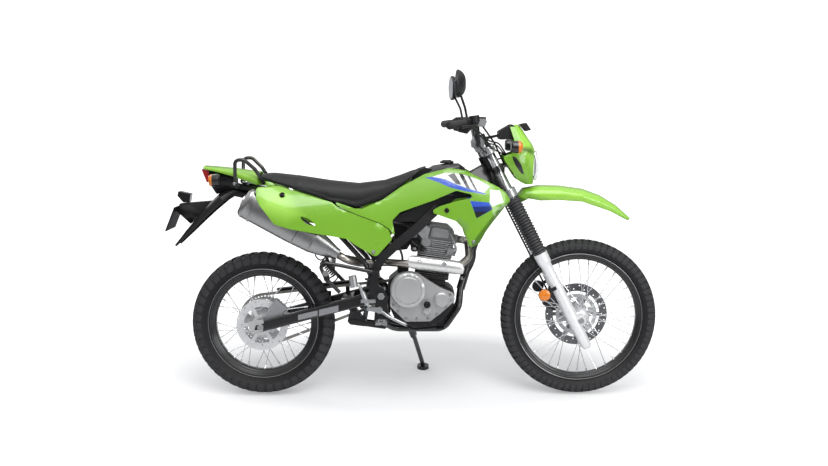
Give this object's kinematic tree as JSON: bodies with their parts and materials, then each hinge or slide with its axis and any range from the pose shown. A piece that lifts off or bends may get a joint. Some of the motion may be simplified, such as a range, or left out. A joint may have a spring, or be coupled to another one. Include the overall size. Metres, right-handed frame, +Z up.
{
  "type": "dual sport motorcycle",
  "caption": "Dual sport motorcycle with a single cylinder engine, spoked wheels, long fork and narrow seat, leaning on its folding side stand.",
  "frame": {"origin": "middle of the bounding box at ground level, below the engine", "axes": "+X forwards, +Y to the rider's left, +Z up; the bike leans 10 degrees towards +Y on its side stand"},
  "size_m": [2.1256, 0.851, 1.4351],
  "materials": {
    "green_panel": "gloss",
    "black_frame_paint": "satin",
    "black_plastic": "textured",
    "tank_black": "satin",
    "seat_cover": "matt vinyl",
    "engine_silver": "cast, clear coated",
    "engine_black": "satin",
    "fork_silver": "satin",
    "hard_chrome": "polished",
    "steel": "brushed",
    "exhaust_pipe": "heat resistant matt",
    "tyre_rubber": "matt",
    "rim_black": "anodised black",
    "hub_silver": "satin",
    "sprocket_steel": "plated",
    "black_bar": "satin",
    "grip_rubber": "matt",
    "headlamp_lens": "clear",
    "amber_lens": "clear amber",
    "red_lens": "clear red",
    "caliper_black": "satin",
    "shock_body": "satin",
    "cap_black": "satin"
  },
  "bodies": {
    "chassis": {"chain_guard": "black_plastic", "crankcase": "engine_black", "cylinder": "engine_black", "cylinder_head": "engine_silver", "drive_chain": "sprocket_steel", "engine_covers": "engine_silver", "exhaust_header": "exhaust_pipe", "foot_controls": "black_frame_paint", "footpegs": "steel", "frame_main": "black_frame_paint", "fuel_cap": "cap_black", "fuel_tank": "tank_black", "grab_bars": "black_bar", "heat_shield": "steel", "intake": "black_plastic", "muffler": "steel", "passenger_pegs": "black_frame_paint", "pivot_bolt": "steel", "plate_holder": "black_plastic", "rear_axle": "steel", "rear_caliper": "caliper_black", "rear_master_cylinder": "black_plastic", "rear_mudguard": "black_plastic", "rear_shock": "shock_body", "rear_signals": "amber_lens", "rear_subframe": "black_frame_paint", "seat": "seat_cover", "shock_linkage": "steel", "side_panels": "green_panel", "swingarm": "black_frame_paint", "tail_cowl": "green_panel", "tail_lamps": "red_lens", "tank_shrouds": "green_panel"},
    "steering": {"fork_gaiters": "grip_rubber", "fork_lower_legs": "fork_silver", "fork_stanchions": "hard_chrome", "front_axle": "steel", "front_brake_hose": "grip_rubber", "front_caliper": "caliper_black", "front_fender": "green_panel", "front_signals": "amber_lens", "grips": "grip_rubber", "hand_levers": "black_plastic", "handlebar": "black_bar", "handlebar_clamp": "engine_silver", "headlamp": "headlamp_lens", "headlight_cowl": "green_panel", "meter": "black_plastic", "mirrors": "black_plastic", "triple_clamps": "engine_silver"},
    "front_wheel": {"front_disc": "steel", "front_hub": "hub_silver", "front_rim": "rim_black", "front_tyre": "tyre_rubber"},
    "rear_wheel": {"rear_disc": "steel", "rear_hub": "hub_silver", "rear_rim": "rim_black", "rear_sprocket": "sprocket_steel", "rear_tyre": "tyre_rubber"},
    "side_stand": {"side_stand": "black_frame_paint"}
  },
  "joints": [
    {"name": "steering", "type": "hinge", "parent": "chassis", "child": "steering", "pos_m": [0.3449, -0.04422, 0.95337], "axis": [-0.454, 0.1547, 0.8775], "range_deg": [-45, 45]},
    {"name": "front_wheel_spin", "type": "hinge", "parent": "steering", "child": "front_wheel", "pos_m": [0.72216, -0.15311, 0.33582], "axis": [0, 0.9848, -0.1736], "continuous": true},
    {"name": "rear_wheel_spin", "type": "hinge", "parent": "chassis", "child": "rear_wheel", "pos_m": [-0.65784, -0.15797, 0.30824], "axis": [0, 0.9848, -0.1736], "continuous": true},
    {"name": "side_stand_fold", "type": "hinge", "parent": "chassis", "child": "side_stand", "pos_m": [-0.00784, -0.07947, 0.24668], "axis": [0.2164, 0.8236, 0.5243], "range_deg": [0, 98]}
  ]
}
